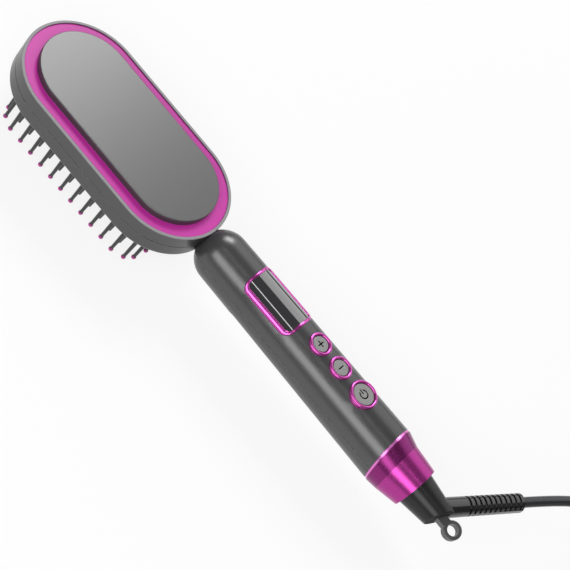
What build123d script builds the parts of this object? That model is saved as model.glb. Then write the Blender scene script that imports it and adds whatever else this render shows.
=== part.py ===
from build123d import *
import math
import os

# A heated hair-straightening brush: an obround head with heated teeth and ball-tipped pins,
# a round handle with a display and three keys, and a swivelling tail that carries the cord.
#
# Units are millimetres. The origin is on the surface that the brush stands on, under the middle
# of its box without the cord. +X runs along the handle to the cord, +Y across, and +Z out of the
# plate on the head's back, so the pins point down and stand on z = 0.

os.makedirs("parts", exist_ok=True)

# ------------------------------------------------------------------ driving dimensions
# head
head_length = 130.6
head_width = 66.0
head_wall = 2.0
back_height = 7.7          # seam up to the rim
front_height = 8.5         # front face up to the seam
front_round = 1.8
rim_width = 1.5
channel_width = 6.7        # coloured channel between the rim and the raised plate
channel_depth = 0.7
plate_rise = 3.7           # raised plate over the channel's floor
ledge_width = 8.7
ledge_thickness = 1.6
accent_thickness = 1.4
accent_overlap = 4.0       # how far the channel ring runs in under the raised plate
plate_top = 1.8
plate_wall = 1.6
hook_width = 5.0
hook_thickness = 1.4
hook_barb = 0.9
front_lip = 1.0
bed_flange = 1.4

# pins and heated teeth
tip_reach = 28.7           # lowest point of the pins below the head's seam
pins_per_side = 11
pin_row_margin = 26.95     # from the head's end to the first pin of a long row
pin_row_inset = 5.35       # from the head's side to a long row
pin_root_radius = 1.15
pin_end_radius = 0.85
pin_socket_depth = 1.6
pin_socket_wall = 0.2      # step of the pin's root outside its shank
ball_radius = 1.25
corner_pin_insets = [(20.3, 8.1), (17.3, 13.0)]   # from the head's end and from its side
end_pin_insets = [(16.5, 11.5), (16.3, 3.8)]      # from the head's end, and off its middle line
tooth_side_margin = 0.8    # from the plate's side to the outer tooth
teeth_per_strip = 7
tooth_root = (3.2, 2.4)
tooth_end = (1.3, 1.2)
tooth_tip_height = 3.2     # teeth stop this far above the pins' lowest point
strip_height = 1.4
plate_end_margin = 19.4    # from the head's end to the heating plate
plate_side_margin = 8.5    # from the head's side to the heating plate
plate_corner = 8.0
plate_thickness = 2.8
plate_flange = 1.4
plate_flange_thickness = 1.2
plate_inset = 0.6          # heating plate's front face behind the head's front face
plate_clearance = 0.3

# heater pack
heater_margin = 5.9        # from the heating plate's end to the heater
heater_width = 20.0
heater_thickness = 4.0
mica_thickness = 0.6
clamp_thickness = 1.0
clamp_width = 26.0
fuse_radius = 1.6
fuse_length = 11.0
sensor_radius = 1.2
sensor_length = 5.0
sensor_inset = 5.5         # from the heating plate's side to the fuse and the sensor

# head screws
head_screw_inset = 9.3     # from the head's end to its screws
head_screw_y = 10.0
screw_radius = 1.2
screw_head_radius = 2.4
screw_head_height = 1.5
screw_length = 11.0
boss_radius = 3.0

# handle
neck_overlap = 2.3         # how far the handle's dome sinks into the head's end
nose_radius = 13.9
tail_radius = 15.3
handle_drop = 0.5          # handle axis below the head's seam
handle_seam_rise = 0.9     # handle's seam above its own axis
handle_wall = 2.4
seam_groove = 0.4
panel_start = 32.2         # lengths along the handle run from the head's end
panel_half_width = 12.4
panel_depth = 1.4
panel_sink = 0.4
panel_corner = 5.0
collar_start = 134.5
collar_tilt = 11.3         # degrees
crease_start = 143.0
crease_tilt = 8.3
collar_end = 155.9
collar_chamfer = 1.6
collar_proud = 0.15
crease_radius = 14.1
crease_drop = 0.9
collar_end_radius = 12.3

# neck tube
neck_start = -9.3
neck_end = 18.7
neck_radius = 4.0
neck_bore = 2.8
neck_flange = (2.0, 14.0, 7.8)
neck_flange_x = -5.7
neck_ring_radius = 6.5
neck_ring_thickness = 2.0
rib_x = 14.7
rib_thickness = 2.0

# display window
window_start = 28.5
window_length = 33.5
window_half_width = 11.0
window_corner = 4.6
frame_side = 2.2
frame_end = 1.6
frame_proud = 0.35
frame_depth = 1.3
lens_depth = 1.2
lens_sink = 0.15
window_ledge = 1.0
display_size = (27.0, 14.0)
display_top_gap = 0.5

# keys: name, place along the handle, key radius, ring radius
keys = [("plus", 74.1, 4.2, 6.2), ("minus", 88.9, 4.2, 6.2), ("power", 105.6, 5.7, 7.6)]
key_clearance = 0.3
key_proud = 0.15
key_flange = 0.9
key_flange_thickness = 0.8
key_stem_radius = 2.0
key_travel = 0.6
key_round = 0.3
ring_proud = 0.75
ring_depth = 3.2
mark_depth = 0.3
mark_stroke = 0.8
mark_reach = {"plus": 2.0, "minus": 1.9, "power": 2.6}

# electronics
board_length = 86.0
board_start = 30.7
board_width = 20.0
board_thickness = 1.6
board_rise = 2.8           # board's underside above the handle axis
switch_size = (6.0, 6.0, 3.5)
switch_plunger_radius = 1.75
switch_plunger_height = 1.0
capacitor_radius = 4.2
capacitor_length = 13.0
capacitor_x = 42.7
relay_size = (17.0, 10.0, 9.0)
relay_x = 83.7
triac_size = (10.0, 12.0, 4.5)
triac_x = 106.7
wire_radius = 0.8
wire_gap = 1.1
handle_screw_x = (64.8, 122.2)
handle_screw_length = 12.0
handle_boss_radius = 3.1

# swivel
stem_radius = 7.55
stem_clearance = 0.05
land_start = 146.7
land_end = 154.1
recess_clearance = 0.4
stem_end = 141.7
clip_thickness = 1.0
clip_radius = 9.4
clip_seat = 6.6
stem_bore = 4.0
spool_plug = 5.0           # the spool's plug inside the stem's bore
inner_lead_end = 9.0       # the inner leads stop this far before the relief's foot
tail_base_radius = 10.2
tail_cone_slope = 0.127    # loss of radius for each millimetre of length
tail_face_x = 175.1        # where the slanted end face crosses the axis
tail_face_slope = 0.478    # millimetres along X for each millimetre along Y
spool_radius = 5.5
spool_length = 11.0
slip_ring_wall = 0.8
slip_ring_width = 2.0
slip_ring_pitch = 4.0
brush_gap = 0.05
sleeve_wall = 1.5
sleeve_length = 8.0

# strain relief, loop and cord
relief_angle = 58.1        # degrees from +X towards +Y
relief_foot = 169.2        # where the relief's axis crosses the handle's axis
relief_length = 54.5
relief_plain = 19.5        # plain barrel, measured from the handle's axis
relief_root_radius = 5.2
relief_tip_radius = 4.8
relief_core_radius = 4.1
rib_count = 11
rib_share = 0.6            # width of a rib as a share of the rib pitch
spine_width = 3.0
loop_x = 183.1
loop_radius = 4.9
loop_bore = 3.0
loop_thickness = 4.0
loop_roll = 15.0
loop_neck_width = 5.0
cord_radius = 2.75
cord_length = 1800.0
floor_gap = 0.1            # between the cord and the surface it lies on
coil_pitch = 5.6           # from one turn of the coil to the next, and from one level to the other
coil_turns = 8.36
coil_outer_turn = 42.8     # radius of the outermost turn's middle
plug_body_size = (25.6, 13.7, 30.0)
plug_neck_radius = (3.6, 4.6)
plug_neck_length = 18.0
plug_pin_radius = 2.0
plug_pin_length = 19.0
plug_pin_spacing = 18.6
seat_gap = 0.05

# ------------------------------------------------------------------ derived places
overall_length = head_length + loop_x + loop_radius
head_x = (head_length - overall_length) / 2
seam_z = tip_reach
front_z = seam_z - front_height
rim_z = seam_z + back_height
channel_z = rim_z - channel_depth
ledge_z = channel_z - accent_thickness
plate_z = channel_z + plate_rise
axis_z = seam_z - handle_drop
handle_seam_z = axis_z + handle_seam_rise
nose_x = head_x + head_length / 2 - neck_overlap + nose_radius
plate_inset_width = rim_width + channel_width
bed_top_z = front_z + head_wall + bed_flange
pin_pitch = (head_length - 2 * pin_row_margin) / (pins_per_side - 1)
pin_row_y = head_width / 2 - pin_row_inset
corner_pins = [(head_length / 2 - end, head_width / 2 - side) for end, side in corner_pin_insets]
corner_pins += [(head_length / 2 - end, y) for end, y in end_pin_insets]
plate_length = head_length - 2 * plate_end_margin
plate_width = head_width - 2 * plate_side_margin
tooth_pitch_y = (plate_width - 2 * tooth_side_margin - tooth_root[1]) / (teeth_per_strip - 1)
heater_length = plate_length - 2 * heater_margin
sensor_row_y = plate_width / 2 - sensor_inset
head_screw_x = head_length / 2 - head_screw_inset
board_z = axis_z + board_rise
board_top_z = board_z + board_thickness
switch_top_z = board_top_z + switch_size[2] + switch_plunger_height
far = 200.0                # longer than any cut needs


def along(distance):
    """X of a place given by its distance from the head's end."""
    return head_x + head_length / 2 + distance


def at_head(z):
    """Level plane over the head's centre."""
    return Plane((head_x, 0, z))


def across(x, z=axis_z):
    """Plane across the handle, its normal along +X and its own x along +Y."""
    return Plane(origin=(x, 0, z), x_dir=(0, 1, 0), z_dir=(1, 0, 0))


def tilted(x, angle, drop=0.0):
    """Plane across the handle, leaning so that its top edge is nearer the head."""
    lean = math.radians(angle)
    return Plane(
        origin=(x, 0, axis_z - drop),
        x_dir=(-math.sin(lean), 0, math.cos(lean)),
        z_dir=(math.cos(lean), 0, math.sin(lean)),
    )


def handle_radius(x):
    """Outer radius of the handle at x, behind its dome."""
    share = (x - nose_x) / (along(collar_start) - nose_x)
    return nose_radius + (tail_radius - nose_radius) * share


def save(builder, name):
    """Label a finished piece and write it as one STEP file."""
    builder.part.label = name
    export_step(builder.part, f"parts/{name}.step")


# ------------------------------------------------------------------ shared tool solids
def head_slab(inset, low, high):
    """Obround slab that follows the head's outline at a distance inside it."""
    with BuildPart() as slab:
        with BuildSketch(at_head(low)):
            SlotOverall(head_length - 2 * inset, head_width - 2 * inset)
        extrude(amount=high - low)
    return slab.part


def handle_body(inset, end_x):
    """Dome and taper of the handle, a distance inside its outer surface, up to end_x."""
    dome = nose_radius - inset
    with BuildPart() as body:
        with BuildSketch(Plane(origin=(0, 0, axis_z), x_dir=(1, 0, 0), z_dir=(0, -1, 0))):
            with BuildLine():
                CenterArc((nose_x, 0), dome, 90, 90)
                Line((nose_x, dome), (end_x, handle_radius(end_x) - inset))
                Line((end_x, handle_radius(end_x) - inset), (end_x, 0))
                Line((end_x, 0), (nose_x - dome, 0))
            make_face()
        revolve(axis=Axis((0, 0, axis_z), (1, 0, 0)))
    return body.part


def handle_skin(outer_inset, inner_inset):
    """Layer of the handle between two depths under its outer surface."""
    return handle_body(outer_inset, along(collar_end)) - handle_body(inner_inset, along(collar_end))


def window_prism(side, end, low, high, corner):
    """Upright prism over the display window, drawn in by side and end."""
    with BuildPart() as prism:
        with BuildSketch(Plane((along(window_start) + window_length / 2, 0, low))):
            RectangleRounded(window_length - 2 * end, 2 * (window_half_width - side), corner)
        extrude(amount=high - low)
    return prism.part


def panel_prism(gap):
    """Prism under the handle over the grip panel, drawn in by gap."""
    start = along(panel_start) + gap
    length = along(collar_end) - start
    with BuildPart() as prism:
        with BuildSketch(Plane((start + length / 2, 0, 0))):
            RectangleRounded(length, 2 * (panel_half_width - gap), panel_corner - gap)
        extrude(amount=axis_z - nose_radius / 4)
    return prism.part


def bar_along_x(x, y, z, radius, length):
    """Round bar whose axis runs along +X from the point given."""
    with BuildPart() as bar:
        with BuildSketch(across(x, z)):
            with Locations((y, 0)):
                Circle(radius)
        extrude(amount=length)
    return bar.part


seam_band = handle_seam_z - seam_groove / 2
with BuildPart() as handle_groove_tool:
    add(handle_skin(-1.0, seam_groove))
    with BuildSketch(Plane.XY.offset(seam_band)):
        Rectangle(2 * far, 2 * far)
    extrude(amount=seam_groove, mode=Mode.INTERSECT)
handle_groove = handle_groove_tool.part

head_groove = head_slab(-1.0, seam_z - seam_groove / 2, seam_z + seam_groove / 2) - head_slab(
    seam_groove, seam_z - seam_groove, seam_z + seam_groove
)
neck_hole = bar_along_x(along(neck_start), 0, axis_z, neck_radius + seat_gap, neck_end - neck_start)
head_clearance = head_slab(-seat_gap, front_z - far, rim_z + far)

# pin places: both long rows, then the four corners and ends
row_places = [
    ((step - (pins_per_side - 1) / 2) * pin_pitch, side * pin_row_y)
    for step in range(pins_per_side)
    for side in (-1, 1)
]
end_places = [(sx * x, sy * y) for x, y in corner_pins for sx in (-1, 1) for sy in (-1, 1)]
pin_places = row_places + end_places
head_screw_places = [
    (sx * head_screw_x, sy * head_screw_y) for sx in (-1, 1) for sy in (-1, 1)
]

# ------------------------------------------------------------------ head casing
with BuildPart() as head_back_shell:
    add(head_slab(0, seam_z, rim_z))
    rim_edges = head_back_shell.faces().sort_by(Axis.Z)[-1].edges()
    fillet(rim_edges, rim_width / 4)
    add(head_slab(head_wall, seam_z, ledge_z - ledge_thickness), mode=Mode.SUBTRACT)
    add(head_slab(rim_width + ledge_width, seam_z, rim_z), mode=Mode.SUBTRACT)
    add(head_slab(rim_width, ledge_z, rim_z), mode=Mode.SUBTRACT)
    with BuildSketch(at_head(bed_top_z + seat_gap)):
        with Locations(*head_screw_places):
            Circle(boss_radius)
    extrude(amount=ledge_z - ledge_thickness / 2 - bed_top_z - seat_gap)
    with BuildSketch(at_head(bed_top_z)):
        with Locations(*head_screw_places):
            Circle(screw_radius + seat_gap)
    extrude(amount=screw_length, mode=Mode.SUBTRACT)
    add(neck_hole, mode=Mode.SUBTRACT)
    add(head_groove, mode=Mode.SUBTRACT)
save(head_back_shell, "head_back_shell")

with BuildPart() as head_front_shell:
    add(head_slab(0, front_z, seam_z))
    fillet(head_front_shell.faces().sort_by(Axis.Z)[0].edges(), front_round)
    add(head_slab(head_wall, front_z + head_wall, seam_z), mode=Mode.SUBTRACT)
    add(head_slab(head_wall + front_lip, front_z, seam_z), mode=Mode.SUBTRACT)
    add(neck_hole, mode=Mode.SUBTRACT)
    add(head_groove, mode=Mode.SUBTRACT)
save(head_front_shell, "head_front_shell")

with BuildPart() as accent_ring:
    add(head_slab(rim_width + seat_gap, ledge_z, channel_z))
    add(head_slab(plate_inset_width + accent_overlap, ledge_z, channel_z), mode=Mode.SUBTRACT)
save(accent_ring, "accent_ring")

hook_inset = plate_inset_width + accent_overlap + seat_gap
hook_y = head_width / 2 - hook_inset - hook_thickness / 2
hook_places = [(sx * head_length / 5, sy * hook_y) for sx in (-1, 1) for sy in (-1, 1)]
barb_places = [(x, y + math.copysign(hook_barb / 2, y)) for x, y in hook_places]
with BuildPart() as back_plate:
    add(head_slab(plate_inset_width, channel_z, plate_z))
    fillet(back_plate.faces().sort_by(Axis.Z)[-1].edges(), 0.5)
    add(head_slab(plate_inset_width + plate_wall, channel_z, plate_z - plate_top), mode=Mode.SUBTRACT)
    with BuildSketch(at_head(ledge_z - hook_barb)):
        with Locations(*hook_places):
            Rectangle(hook_width, hook_thickness)
    extrude(until=Until.NEXT)
    with BuildSketch(at_head(ledge_z - hook_barb)):
        with Locations(*barb_places):
            Rectangle(hook_width, hook_thickness + hook_barb)
    extrude(amount=hook_barb - seat_gap)
save(back_plate, "back_plate")

# ------------------------------------------------------------------ pin bed, pins and tips
with BuildPart() as pin_bed:
    add(head_slab(head_wall + front_lip + seat_gap, front_z, front_z + head_wall))
    add(head_slab(head_wall + seat_gap, front_z + head_wall, bed_top_z))
    with BuildSketch(at_head(front_z)):
        RectangleRounded(
            plate_length + 2 * plate_clearance, plate_width + 2 * plate_clearance, plate_corner
        )
    extrude(amount=bed_top_z - front_z, mode=Mode.SUBTRACT)
    with BuildSketch(at_head(front_z)):
        with Locations(*pin_places):
            Circle(pin_root_radius + pin_socket_wall + seat_gap)
    extrude(amount=pin_socket_depth, mode=Mode.SUBTRACT)
    with BuildSketch(at_head(front_z)):
        with Locations(*head_screw_places):
            Circle(screw_head_radius + seat_gap * 4)
    extrude(amount=screw_head_height, mode=Mode.SUBTRACT)
    with BuildSketch(at_head(front_z)):
        with Locations(*head_screw_places):
            Circle(screw_radius + seat_gap * 4)
    extrude(amount=bed_top_z - front_z, mode=Mode.SUBTRACT)
save(pin_bed, "pin_bed")

with BuildPart() as pin_blank:
    with BuildSketch(Plane.XZ):
        with BuildLine():
            Polyline(
                (0, ball_radius + seat_gap),
                (pin_end_radius, ball_radius + seat_gap),
                (pin_root_radius, front_z),
                (pin_root_radius + pin_socket_wall, front_z),
                (pin_root_radius + pin_socket_wall, front_z + pin_socket_depth),
                (0, front_z + pin_socket_depth),
                close=True,
            )
        make_face()
    revolve(axis=Axis.Z)

with BuildPart() as ball_blank:
    with Locations((0, 0, ball_radius)):
        Sphere(ball_radius)
    with BuildSketch(Plane.XY.offset(ball_radius)):
        Circle(pin_end_radius + seat_gap)
    extrude(amount=2 * ball_radius, mode=Mode.SUBTRACT)

with BuildPart() as bristle_pins:
    with Locations(*[(head_x + x, y, 0) for x, y in pin_places]):
        add(pin_blank.part)
save(bristle_pins, "bristle_pins")

with BuildPart() as bristle_tips:
    with Locations(*[(head_x + x, y, 0) for x, y in pin_places]):
        add(ball_blank.part)
save(bristle_tips, "bristle_tips")

# ------------------------------------------------------------------ heating plate and teeth
heat_front_z = front_z + plate_inset
with BuildPart() as heating_plate:
    with BuildSketch(at_head(heat_front_z)):
        RectangleRounded(plate_length, plate_width, plate_corner)
    extrude(amount=bed_top_z - heat_front_z)
    with BuildSketch(at_head(bed_top_z)):
        RectangleRounded(
            plate_length + 2 * plate_flange, plate_width + 2 * plate_flange, plate_corner
        )
    extrude(amount=plate_flange_thickness)
save(heating_plate, "heating_plate")
heater_z = bed_top_z + plate_flange_thickness

strip_length = (teeth_per_strip - 1) * tooth_pitch_y + tooth_root[1]
tooth_ys = [(step - (teeth_per_strip - 1) / 2) * tooth_pitch_y for step in range(teeth_per_strip)]
with BuildPart() as tooth_blank:
    with BuildSketch(Plane.XY.offset(heat_front_z - strip_height)):
        RectangleRounded(*tooth_root, tooth_root[1] * 0.45)
    with BuildSketch(Plane.XY.offset(tooth_tip_height)):
        RectangleRounded(*tooth_end, tooth_end[1] * 0.45)
    loft()
    fillet(tooth_blank.faces().sort_by(Axis.Z)[0].edges(), tooth_end[1] / 4)

with BuildPart() as strip_blank:
    with BuildSketch(Plane.XY.offset(heat_front_z - strip_height)):
        RectangleRounded(tooth_root[0], strip_length, tooth_root[0] / 3)
    extrude(amount=strip_height)
    with Locations(*[(0, y, 0) for y in tooth_ys]):
        add(tooth_blank.part)

with BuildPart() as heating_teeth:
    with Locations(*[(head_x + x, 0, 0) for x, y in row_places if y > 0]):
        add(strip_blank.part)
save(heating_teeth, "heating_teeth")

# ------------------------------------------------------------------ heater pack
with BuildPart() as ptc_heater:
    with BuildSketch(at_head(heater_z)):
        with Locations((-heater_length / 4, 0), (heater_length / 4, 0)):
            Rectangle(heater_length / 2 - seat_gap, heater_width)
    extrude(amount=heater_thickness)
save(ptc_heater, "ptc_heater")

with BuildPart() as mica_sheet:
    with BuildSketch(at_head(heater_z + heater_thickness)):
        Rectangle(heater_length, heater_width + 2)
    extrude(amount=mica_thickness)
save(mica_sheet, "mica_sheet")

clamp_z = heater_z + heater_thickness + mica_thickness
leg_y = clamp_width / 2 - clamp_thickness / 2
with BuildPart() as heater_clamp:
    with BuildSketch(at_head(clamp_z)):
        Rectangle(heater_length * 0.8, clamp_width)
    extrude(amount=clamp_thickness)
    with BuildSketch(at_head(heater_z)):
        with Locations((0, -leg_y), (0, leg_y)):
            Rectangle(heater_length * 0.8, clamp_thickness)
    extrude(amount=clamp_z - heater_z)
save(heater_clamp, "heater_clamp")

with BuildPart() as thermal_fuse:
    add(bar_along_x(head_x, sensor_row_y, heater_z + fuse_radius, fuse_radius, fuse_length))
save(thermal_fuse, "thermal_fuse")

with BuildPart() as temperature_sensor:
    add(bar_along_x(head_x, -sensor_row_y, heater_z + sensor_radius, sensor_radius, sensor_length))
save(temperature_sensor, "temperature_sensor")


def screws(places, head_z, length, pointing):
    """Pan-head screws standing on their head face; pointing is +1 for shanks that run up."""
    with BuildPart() as group:
        with BuildSketch(Plane.XY.offset(head_z)):
            with Locations(*places):
                Circle(screw_head_radius)
        extrude(amount=pointing * screw_head_height)
        with BuildSketch(Plane.XY.offset(head_z)):
            with Locations(*places):
                Circle(screw_radius)
        extrude(amount=pointing * length)
        with BuildSketch(Plane.XY.offset(head_z)):
            with Locations(*places):
                Rectangle(screw_head_radius * 1.3, 0.5)
                Rectangle(0.5, screw_head_radius * 1.3)
        extrude(amount=pointing * screw_head_height / 2, mode=Mode.SUBTRACT)
    return group


head_screws = screws(
    [(head_x + x, y) for x, y in head_screw_places], front_z, screw_length, 1
)
save(head_screws, "head_screws")

# ------------------------------------------------------------------ neck
with BuildPart() as neck_tube:
    add(bar_along_x(along(neck_start), 0, axis_z, neck_radius, neck_end - neck_start))
    with Locations((along(neck_flange_x) + neck_flange[0] / 2, 0, axis_z)):
        Box(*neck_flange)
    add(
        bar_along_x(
            along(rib_x) - neck_ring_thickness - seat_gap, 0, axis_z, neck_ring_radius, neck_ring_thickness
        )
    )
    add(bar_along_x(along(neck_start), 0, axis_z, neck_bore, far), mode=Mode.SUBTRACT)
save(neck_tube, "neck_tube")

# ------------------------------------------------------------------ handle shells
collar_plane = tilted(along(collar_start), collar_tilt)
ring_holes = [(along(x), 0) for _, x, _, ring in keys]


def neck_rib():
    """Web inside the handle that grips the neck tube."""
    with BuildPart() as web:
        add(bar_along_x(along(rib_x), 0, axis_z, handle_radius(along(rib_x)) - handle_wall / 2, rib_thickness))
        add(bar_along_x(along(rib_x), 0, axis_z, neck_radius + seat_gap, rib_thickness), mode=Mode.SUBTRACT)
    return web.part


skin = handle_skin(0, handle_wall)
web = neck_rib()
screw_spots = [(along(x), 0) for x in handle_screw_x]
handle_bottom_z = axis_z - tail_radius
frame_pocket = handle_skin(-1.0, frame_depth) & window_prism(0, 0, axis_z, far, window_corner)
lens_hole = window_prism(
    frame_side + window_ledge, frame_end + window_ledge, axis_z, far, window_corner / 2
)
panel_pocket = handle_skin(-1.0, panel_depth) & panel_prism(0)
inner_room = handle_body(handle_wall / 2, along(collar_end))

with BuildPart() as upper_boss_tool:
    with BuildSketch(Plane.XY.offset(handle_seam_z)):
        with Locations(*screw_spots):
            Circle(handle_boss_radius)
    extrude(amount=tail_radius)
    add(inner_room, mode=Mode.INTERSECT)
upper_bosses = upper_boss_tool.part

with BuildPart() as lower_boss_tool:
    with BuildSketch(Plane.XY.offset(handle_bottom_z)):
        with Locations(*screw_spots):
            Circle(handle_boss_radius)
    extrude(amount=handle_seam_z - handle_bottom_z - seat_gap)
    add(inner_room, mode=Mode.INTERSECT)
lower_bosses = lower_boss_tool.part

with BuildPart() as handle_upper_shell:
    add(skin)
    add(web)
    split(bisect_by=Plane.XY.offset(handle_seam_z), keep=Keep.TOP)
    add(upper_bosses)
    add(frame_pocket, mode=Mode.SUBTRACT)
    add(lens_hole, mode=Mode.SUBTRACT)
    for name, x, key_radius, ring_radius in keys:
        with BuildSketch(Plane((along(x), 0, axis_z))):
            Circle(ring_radius + seat_gap)
        extrude(amount=far, mode=Mode.SUBTRACT)
    with BuildSketch(Plane.XY.offset(handle_seam_z)):
        with Locations(*screw_spots):
            Circle(screw_radius + seat_gap)
    extrude(amount=handle_boss_radius * 2, mode=Mode.SUBTRACT)
    add(head_clearance, mode=Mode.SUBTRACT)
    add(neck_hole, mode=Mode.SUBTRACT)
    add(handle_groove, mode=Mode.SUBTRACT)
    split(bisect_by=collar_plane, keep=Keep.BOTTOM)
save(handle_upper_shell, "handle_upper_shell")

screw_seat_z = handle_seam_z + handle_boss_radius * 2 - 1 - handle_screw_length
with BuildPart() as handle_lower_shell:
    add(skin)
    add(web)
    split(bisect_by=Plane.XY.offset(handle_seam_z - seat_gap), keep=Keep.BOTTOM)
    add(lower_bosses)
    add(panel_pocket, mode=Mode.SUBTRACT)
    with BuildSketch(Plane.XY.offset(0)):
        with Locations(*screw_spots):
            Circle(screw_head_radius + seat_gap)
    extrude(amount=screw_seat_z + screw_head_height, mode=Mode.SUBTRACT)
    with BuildSketch(Plane.XY.offset(0)):
        with Locations(*screw_spots):
            Circle(screw_radius + seat_gap)
    extrude(amount=far, mode=Mode.SUBTRACT)
    add(head_clearance, mode=Mode.SUBTRACT)
    add(neck_hole, mode=Mode.SUBTRACT)
    add(handle_groove, mode=Mode.SUBTRACT)
    split(bisect_by=collar_plane, keep=Keep.BOTTOM)
save(handle_lower_shell, "handle_lower_shell")

with BuildPart() as grip_panel:
    add(handle_skin(panel_sink, panel_depth - seat_gap))
    add(panel_prism(0.15), mode=Mode.INTERSECT)
    split(bisect_by=collar_plane, keep=Keep.BOTTOM)
save(grip_panel, "grip_panel")

handle_screws = screws(screw_spots, screw_seat_z, handle_screw_length, 1)
save(handle_screws, "handle_screws")

# ------------------------------------------------------------------ display
with BuildPart() as display_frame:
    add(handle_skin(-frame_proud, frame_depth - seat_gap))
    add(window_prism(seat_gap, seat_gap, axis_z, far, window_corner), mode=Mode.INTERSECT)
    add(
        window_prism(frame_side, frame_end, axis_z, far, window_corner / 2), mode=Mode.SUBTRACT
    )
save(display_frame, "display_frame")

with BuildPart() as display_window:
    add(handle_skin(lens_sink, frame_depth - seat_gap))
    add(
        window_prism(frame_side + seat_gap, frame_end + seat_gap, axis_z, far, window_corner / 2),
        mode=Mode.INTERSECT,
    )
save(display_window, "display_window")

window_mid_x = along(window_start) + window_length / 2
room_radius = handle_radius(along(window_start)) - frame_depth - display_top_gap
display_top_z = axis_z + math.sqrt(room_radius**2 - (display_size[1] / 2) ** 2)
with BuildPart() as display_module:
    with BuildSketch(Plane((window_mid_x, 0, board_top_z))):
        Rectangle(*display_size)
    extrude(amount=display_top_z - board_top_z)
    fillet(display_module.edges().filter_by(Axis.Z), 0.8)
save(display_module, "display_module")


# ------------------------------------------------------------------ keys, their rings and marks
def draw_mark(name):
    """Sketch of a key's mark about the sketch's own centre."""
    reach = mark_reach[name]
    if name in ("plus", "minus"):
        Rectangle(mark_stroke, 2 * reach)
    if name == "plus":
        Rectangle(2 * reach, mark_stroke)
    if name == "power":
        Circle(reach)
        Circle(reach - mark_stroke, mode=Mode.SUBTRACT)
        with Locations((-reach, 0)):
            Rectangle(2 * reach, 2.6 * mark_stroke, mode=Mode.SUBTRACT)
        with Locations((-reach * 0.6, 0)):
            Rectangle(reach * 1.2, mark_stroke)


def build_key(name, x, key_radius, ring_radius):
    """Make one key with its ring and its mark."""
    place_x = along(x)
    crown_z = axis_z + handle_radius(place_x)
    ring_low = crown_z - ring_depth
    bore = key_radius + key_clearance
    ring_mid = (bore + ring_radius) / 2
    ring_top = crown_z + ring_proud
    key_top = crown_z + key_proud
    with BuildPart() as ring:
        with BuildSketch(Plane(origin=(place_x, 0, 0), x_dir=(1, 0, 0), z_dir=(0, -1, 0))):
            with BuildLine():
                crown = (ring_radius - bore) / 2
                Line((bore, ring_low), (ring_radius, ring_low))
                Line((ring_radius, ring_low), (ring_radius, ring_top - crown))
                ThreePointArc(
                    (ring_radius, ring_top - crown), (ring_mid, ring_top), (bore, ring_top - crown)
                )
                Line((bore, ring_top - crown), (bore, ring_low))
            make_face()
        revolve(axis=Axis((place_x, 0, 0), (0, 0, 1)))
    save(ring, f"key_ring_{name}")

    with BuildPart() as key:
        with BuildSketch(Plane((place_x, 0, ring_low - seat_gap - key_flange_thickness))):
            Circle(key_radius + key_flange)
        extrude(amount=key_flange_thickness)
        with BuildSketch(Plane((place_x, 0, ring_low - seat_gap))):
            Circle(key_radius)
        extrude(amount=key_top - ring_low + seat_gap)
        fillet(key.edges().sort_by(Axis.Z)[-1], key_round)
        stem_z = switch_top_z + key_travel + 2 * seat_gap
        with BuildSketch(Plane((place_x, 0, stem_z))):
            Circle(key_stem_radius)
        extrude(amount=ring_low - stem_z)
        with BuildSketch(Plane((place_x, 0, key_top - mark_depth))):
            draw_mark(name)
        extrude(amount=mark_depth, mode=Mode.SUBTRACT)
    save(key, f"key_{name}")

    with BuildPart() as mark:
        with BuildSketch(Plane((place_x, 0, key_top - mark_depth))):
            draw_mark(name)
        extrude(amount=mark_depth - 0.02)
    save(mark, f"mark_{name}")


for key_values in keys:
    build_key(*key_values)

# ------------------------------------------------------------------ electronics
board_mid = along(board_start) + board_length / 2
with BuildPart() as main_board:
    with BuildSketch(Plane((board_mid, 0, board_z))):
        Rectangle(board_length, board_width)
    extrude(amount=board_thickness)
    with BuildSketch(Plane((along(handle_screw_x[0]), 0, board_z))):
        Circle(handle_boss_radius + 2 * seat_gap)
    extrude(amount=board_thickness, mode=Mode.SUBTRACT)
save(main_board, "main_board")

with BuildPart() as tact_switches:
    for name, x, key_radius, ring_radius in keys:
        with BuildSketch(Plane((along(x), 0, board_top_z))):
            Rectangle(switch_size[0], switch_size[1])
        extrude(amount=switch_size[2])
        with BuildSketch(Plane((along(x), 0, board_top_z + switch_size[2]))):
            Circle(switch_plunger_radius)
        extrude(amount=switch_plunger_height)
save(tact_switches, "tact_switches")

with BuildPart() as capacitor:
    add(
        bar_along_x(along(capacitor_x), 0, board_z - capacitor_radius, capacitor_radius, capacitor_length)
    )
save(capacitor, "capacitor")

with BuildPart() as power_relay:
    with BuildSketch(Plane((along(relay_x), 0, board_z - relay_size[2]))):
        Rectangle(relay_size[0], relay_size[1])
    extrude(amount=relay_size[2])
    fillet(power_relay.edges().filter_by(Axis.Z), 0.6)
save(power_relay, "power_relay")

with BuildPart() as triac:
    with BuildSketch(Plane((along(triac_x), 0, board_z - triac_size[2]))):
        Rectangle(triac_size[0], triac_size[1])
    extrude(amount=triac_size[2])
save(triac, "triac")


def wire(points, bends):
    """Insulated wire along straight runs with round bends."""
    with BuildPart() as lead:
        with BuildLine() as path:
            FilletPolyline(*points, radius=bends)
        start = Plane(origin=path.line @ 0, z_dir=path.line % 0)
        with BuildSketch(start):
            Circle(wire_radius)
        sweep()
    return lead.part


def heater_wire(y):
    """One lead from the heater pack, through the neck tube, up to the board's underside."""
    return wire(
        [
            (head_x + heater_length / 2 + seat_gap, y, axis_z),
            (along(board_start + 2), y, axis_z),
            (along(board_start + 2 + board_rise), y, board_z - wire_radius),
        ],
        2.5,
    )


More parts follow.
